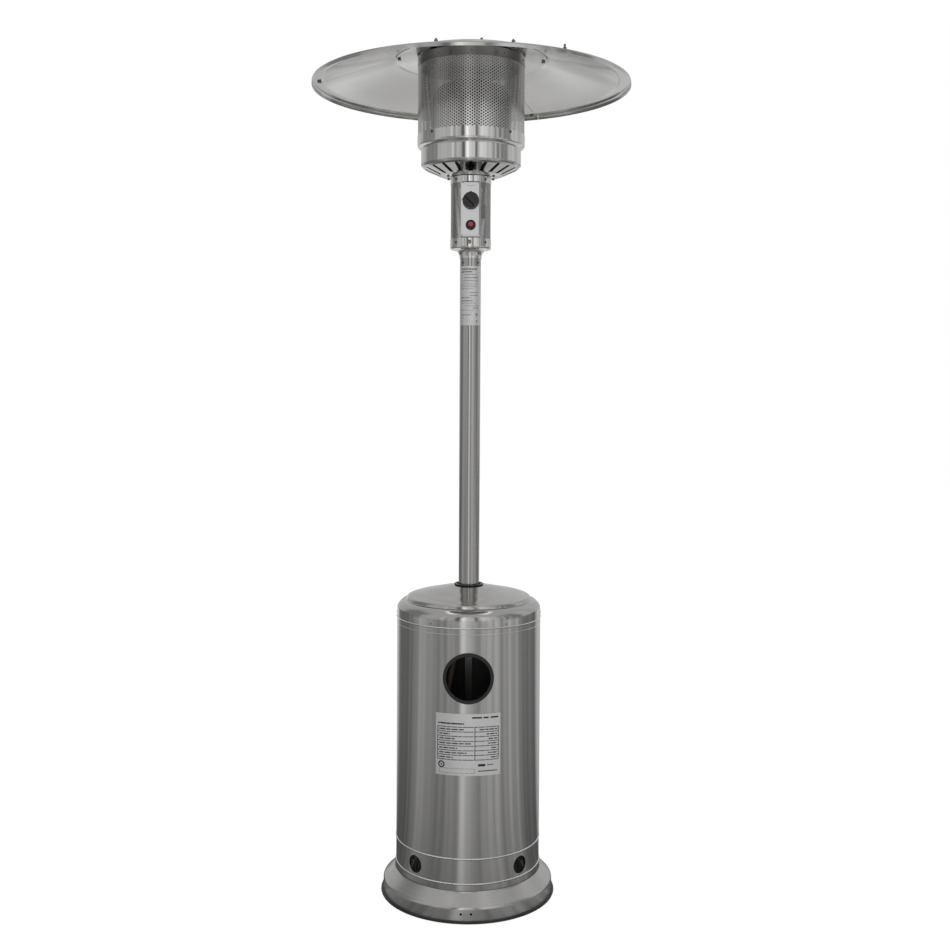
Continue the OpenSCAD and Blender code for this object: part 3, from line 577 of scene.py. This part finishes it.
# ---------------------------------------------------------------- printed rules
shapes = []
PLATE_R = 186.95
rows_z = [474, 462.4, 450.8, 439.2, 427.6, 416, 404.4, 392.8]
for i, z in enumerate(rows_z):
    shapes += bar(-23.6, 23.6, z - 0.95, z + 0.95)
for a in (-23.6, 5.2, 23.6):
    shapes += bar(a - 0.26, a + 0.26, rows_z[-1], rows_z[0])
for i, (a1, b0) in enumerate([(-3.0, 8.6), (-14.0, 14.2), (-10.0, 15.6), (2.6, 15.4),
                              (-8.0, 18.0), (-1.0, 15.2), (-11.6, 17.6)]):
    zc = (rows_z[i] + rows_z[i + 1]) / 2
    a = -22.4
    while a < a1:
        w = min(2.6 + 1.1 * ((i * 7 + int(a * 3)) % 3), a1 - a)
        shapes += bar(a, a + w, zc - 1.5, zc + 1.3)
        a += w + 0.7
    a = b0
    while a < 22.6:
        w = min(1.9 + 0.9 * ((i * 5 + int(a * 2)) % 3), 22.6 - a)
        shapes += bar(a, a + w, zc - 1.5, zc + 1.3)
        a += w + 0.6
for a0, a1 in ((3.0, 10.6), (11.6, 15.6), (17.2, 23.4)):
    shapes += bar(a0, a1, 495.6, 499.6)
shapes += bar(-23.2, -3.0, 480.6, 484.2)
shapes += disc(-20.6, 380.2, 8.6, PLATE_R, hole=5.2)
shapes += disc(-20.6, 380.2, 2.2, PLATE_R, sides=16)
shapes += bar(7.6, 13.2, 376.6, 382.6)
shapes += bar(14.6, 19.6, 379.0, 381.0)
for z in (371.0, 360.0):
    shapes += bar(-22.0, 5.0, z - 0.35, z + 0.35)
for a in (-22.0, 5.0):
    shapes += bar(a - 0.1, a + 0.1, 360.0, 371.0)
shapes += bar(7.6, 22.6, 364.0, 366.4)
plate_print = on_tube("rating_plate_rules", "label", "tank_cover", PLATE_R * MM, shapes, INK)

shapes = []
POST_R = 27.39
lines = [(1611, 3.2, -50, 38, 0.9), (1604, 2.8, -56, 10, 0.8), (1597.5, 1.5, -34, 40, 0.5),
         (1589, 1.8, -36, 46, 0.7), (1581, 1.5, -38, 44, 0.6), (1573, 1.0, -60, 48, 0.4),
         (1567.5, 1.0, -60, 44, 0.4), (1561, 1.0, -60, 12, 0.4), (1551, 1.3, -4, 46, 0.7),
         (1543.5, 1.3, -2, 42, 0.7), (1538, 1.6, -56, 6, 0.8), (1530, 2.0, -58, 12, 0.9),
         (1524, 1.2, -50, 30, 0.6), (1517, 1.0, -30, 48, 0.5), (1511.5, 1.4, 16, 48, 0.8),
         (1506, 1.0, -58, 20, 0.4), (1494, 1.8, -56, 4, 0.8), (1486, 1.8, -54, -40, 0.9),
         (1478, 1.6, -52, -44, 0.9)]
for i, (z, h, a0, a1, fill) in enumerate(lines):
    a = a0
    while a < a1:
        w = min(5.0 + 4.0 * ((i * 5 + int(a)) % 3), a1 - a)
        shapes += bar(a, a + w, z - h / 2, z + h / 2, 8.0)
        a += w + (2.6 if fill > 0.6 else 4.5)
shapes += disc(37, 1495, 3.2, POST_R, sides=20)
shapes += disc(37, 1478.5, 1.9, POST_R, sides=16)
post_print = on_tube("post_label_rules", "label", "root", POST_R * MM, shapes, INK)


# ---------------------------------------------------------------- studio
def plain(name, color, emit=0.0, rough=0.8):
    m = bpy.data.materials.new(name)
    m.use_nodes = True
    b = m.node_tree.nodes["Principled BSDF"]
    b.inputs["Base Color"].default_value = (*color, 1)
    b.inputs["Roughness"].default_value = rough
    b.inputs["Specular IOR Level"].default_value = 0.1
    if emit:
        b.inputs["Emission Color"].default_value = (1, 1, 1, 1)
        b.inputs["Emission Strength"].default_value = emit
    return m


def quad(name, s, z, mat):
    me = bpy.data.meshes.new(name)
    me.from_pydata([(-s, -s, z), (s, -s, z), (s, s, z), (-s, s, z)], [], [(0, 1, 2, 3)])
    me.materials.append(mat)
    ob = bpy.data.objects.new(name, me)
    SCENE.collection.objects.link(ob)
    return ob


def around_ramp(nt, coord, stops):
    """Brightness by the azimuth of coord, in degrees from the camera's side, + to the right."""
    sep = nt.nodes.new("ShaderNodeSeparateXYZ")
    nt.links.new(coord, sep.inputs[0])
    neg = nt.nodes.new("ShaderNodeMath")
    neg.operation = "MULTIPLY"
    neg.inputs[1].default_value = -1
    nt.links.new(sep.outputs["Y"], neg.inputs[0])
    at = nt.nodes.new("ShaderNodeMath")
    at.operation = "ARCTAN2"
    nt.links.new(sep.outputs["X"], at.inputs[0])
    nt.links.new(neg.outputs[0], at.inputs[1])
    fac = nt.nodes.new("ShaderNodeMapRange")
    fac.inputs["From Min"].default_value = -math.pi
    fac.inputs["From Max"].default_value = math.pi
    nt.links.new(at.outputs[0], fac.inputs["Value"])
    return ramp_node(nt, fac.outputs["Result"], [((a + 180) / 360, v) for a, v in stops]), sep


def ramp_node(nt, fac, stops):
    ramp = nt.nodes.new("ShaderNodeValToRGB")
    nt.links.new(fac, ramp.inputs["Fac"])
    e = ramp.color_ramp.elements
    e[0].position, e[0].color = stops[0][0], (*([stops[0][1]] * 3), 1)
    e[1].position, e[1].color = stops[-1][0], (*([stops[-1][1]] * 3), 1)
    for at, v in stops[1:-1]:
        e.new(at).color = (v, v, v, 1)
    return ramp.outputs["Color"]


def times(nt, a, b):
    n = nt.nodes.new("ShaderNodeMath")
    n.operation = "MULTIPLY"
    for i, v in enumerate((a, b)):
        if isinstance(v, (int, float)):
            n.inputs[i].default_value = v
        else:
            nt.links.new(v, n.inputs[i])
    return n.outputs[0]


FLOOR_RING = [(-180, 0.66), (-150, 0.60), (-139, 0.20), (-112, 0.17), (-104, 0.22), (-90, 0.32),
              (-82, 0.44), (-73, 0.56), (-68, 0.38), (-52, 0.40), (-45, 0.27), (-30, 0.40),
              (-20, 0.42), (-14, 0.54), (-11, 0.88), (-8, 0.68), (-5, 1.00), (-2, 0.60),
              (4, 0.66), (9, 0.40), (16, 0.36), (34, 0.52), (44, 0.54), (52, 0.38), (63, 0.46),
              (67, 0.62), (78, 0.52), (90, 0.30), (98, 0.19), (128, 0.20), (134, 0.52),
              (180, 0.66)]
# Glow of the reflected floor against distance from the axis in metres: none under the base and lower near
# it, a painted contact shadow.
FLOOR_OUT = [(0.0, 0.0), (0.216, 0.0), (0.222, 0.52), (0.45, 0.62), (1.0, 0.80), (1.8, 1.0),
             (3.4, 1.02), (4.4, 1.14), (6.2, 1.24), (6.7, 1.0), (7.0, 0.95)]
WALLS = [(-180, 0.70), (-140, 0.70), (-128, 0.66), (-120, 0.34), (-85, 0.34), (-78, 0.66),
         (-46, 0.70), (-40, 0.86), (-36, 0.52), (-31, 0.72), (-24, 0.64), (-19, 0.22),
         (-15, 0.15), (-13, 0.80), (-9, 1.50), (-5, 1.35), (-2, 0.98), (8, 0.92), (10, 0.22),
         (12.5, 0.20), (16, 0.66), (23, 1.05), (32, 0.90), (48, 0.68), (53, 0.42), (58, 0.70),
         (64, 0.20), (70, 0.66), (75, 0.33), (90, 0.36), (96, 0.70), (180, 0.72)]


def streaks(nt, coord, scale, low, high):
    """Narrow lighter and darker upright bands, as folds in the studio's cloth."""
    u = nt.nodes.new("ShaderNodeVectorMath")
    u.operation = "MULTIPLY"
    u.inputs[1].default_value = (1, 1, 0)
    nt.links.new(coord, u.inputs[0])
    v = nt.nodes.new("ShaderNodeVectorMath")
    v.operation = "NORMALIZE"
    nt.links.new(u.outputs[0], v.inputs[0])
    n = nt.nodes.new("ShaderNodeTexNoise")
    n.inputs["Scale"].default_value = scale
    n.inputs["Detail"].default_value = 2.0
    nt.links.new(v.outputs[0], n.inputs["Vector"])
    m = nt.nodes.new("ShaderNodeMapRange")
    m.inputs["From Min"].default_value = 0.36
    m.inputs["From Max"].default_value = 0.64
    m.inputs["To Min"].default_value = low
    m.inputs["To Max"].default_value = high
    nt.links.new(n.outputs["Fac"], m.inputs["Value"])
    return m.outputs["Result"]


def studio_floor():
    # what the camera sees: a plain pale floor
    pale = plain("pale_floor", (0.30, 0.30, 0.30), 0.88)
    nt = pale.node_tree
    b = nt.nodes["Principled BSDF"]
    tc = nt.nodes.new("ShaderNodeTexCoord")
    ln = nt.nodes.new("ShaderNodeVectorMath")
    ln.operation = "LENGTH"
    nt.links.new(tc.outputs["Object"], ln.inputs[0])
    # No glow inside the base's footprint: painted shade under the object.
    under = nt.nodes.new("ShaderNodeMath")
    under.operation = "GREATER_THAN"
    under.inputs[1].default_value = 0.214
    nt.links.new(ln.outputs["Value"], under.inputs[0])
    lit_part = nt.nodes.new("ShaderNodeMath")
    lit_part.operation = "MULTIPLY"
    lit_part.inputs[1].default_value = 0.88
    nt.links.new(under.outputs[0], lit_part.inputs[0])
    nt.links.new(lit_part.outputs[0], b.inputs["Emission Strength"])
    seen = quad("floor", 14, -0.0006, pale)
    seen.visible_glossy = False
    seen.visible_diffuse = False
    # what the metal reflects: the same floor with the studio's light on it
    m = bpy.data.materials.new("lit_floor")
    m.use_nodes = True
    nt = m.node_tree
    nt.nodes.clear()
    out = nt.nodes.new("ShaderNodeOutputMaterial")
    em = nt.nodes.new("ShaderNodeEmission")
    tc = nt.nodes.new("ShaderNodeTexCoord")
    ring, _ = around_ramp(nt, tc.outputs["Object"], FLOOR_RING)
    ln = nt.nodes.new("ShaderNodeVectorMath")
    ln.operation = "LENGTH"
    nt.links.new(tc.outputs["Object"], ln.inputs[0])
    span = nt.nodes.new("ShaderNodeMath")
    span.operation = "DIVIDE"
    span.inputs[1].default_value = 7.0
    nt.links.new(ln.outputs["Value"], span.inputs[0])
    away = ramp_node(nt, span.outputs[0], [(r / 7.0, v) for r, v in FLOOR_OUT])
    folds = streaks(nt, tc.outputs["Object"], 9.0, 0.78, 1.24)
    nt.links.new(times(nt, times(nt, ring, away), folds), em.inputs["Strength"])
    nt.links.new(em.outputs[0], out.inputs["Surface"])
    lit = quad("floor_light", 14, -0.0012, m)
    lit.visible_camera = False
    lit.visible_shadow = False
    # a plain white dome that only the camera sees
    bm = bmesh.new()
    bmesh.ops.create_icosphere(bm, subdivisions=4, radius=13)
    me = bpy.data.meshes.new("backdrop")
    bm.to_mesh(me)
    bm.free()
    me.materials.append(plain("backdrop_white", (0, 0, 0), 1.0))
    dome = bpy.data.objects.new("backdrop", me)
    SCENE.collection.objects.link(dome)
    dome.visible_glossy = False
    dome.visible_diffuse = False
    dome.visible_shadow = False
    dome.visible_transmission = False


def area(name, az, dist, z, width, height, radiance, aim=1.2):
    """A soft strip at azimuth az (degrees from the camera's side, + to the right)."""
    d = bpy.data.lights.new(name, "AREA")
    d.shape = "RECTANGLE"
    d.size, d.size_y = width, height
    d.energy = radiance * math.pi * width * height
    o = bpy.data.objects.new(name, d)
    SCENE.collection.objects.link(o)
    t = math.radians(az)
    loc = Vector((dist * math.sin(t), -dist * math.cos(t), z))
    o.location = loc
    o.rotation_euler = (Vector((0, 0, aim)) - loc).to_track_quat("-Z", "Y").to_euler()
    return o


def studio():
    studio_floor()
    w = bpy.data.worlds.new("studio")
    SCENE.world = w
    w.use_nodes = True
    nt = w.node_tree
    nt.nodes.clear()
    out = nt.nodes.new("ShaderNodeOutputWorld")
    bg = nt.nodes.new("ShaderNodeBackground")
    tc = nt.nodes.new("ShaderNodeTexCoord")
    wall, sep = around_ramp(nt, tc.outputs["Generated"], WALLS)
    high = nt.nodes.new("ShaderNodeMapRange")
    high.interpolation_type = "SMOOTHSTEP"
    high.inputs["From Min"].default_value = 0.62
    high.inputs["From Max"].default_value = 0.86
    nt.links.new(sep.outputs["Z"], high.inputs["Value"])
    mix = nt.nodes.new("ShaderNodeMix")
    mix.data_type = "FLOAT"
    nt.links.new(high.outputs["Result"], mix.inputs["Factor"])
    folds = streaks(nt, tc.outputs["Generated"], 9.0, 0.88, 1.12)
    nt.links.new(times(nt, wall, folds), mix.inputs["A"])
    mix.inputs["B"].default_value = 0.66
    nt.links.new(mix.outputs["Result"], bg.inputs["Strength"])
    nt.links.new(bg.outputs[0], out.inputs["Surface"])
    top = area("overhead", 180, 0.1, 4.6, 2.6, 1.6, 1.0)
    top.rotation_euler = (0, 0, 0)
    SCENE.view_settings.view_transform = "Standard"
    SCENE.view_settings.look = "None"


studio()
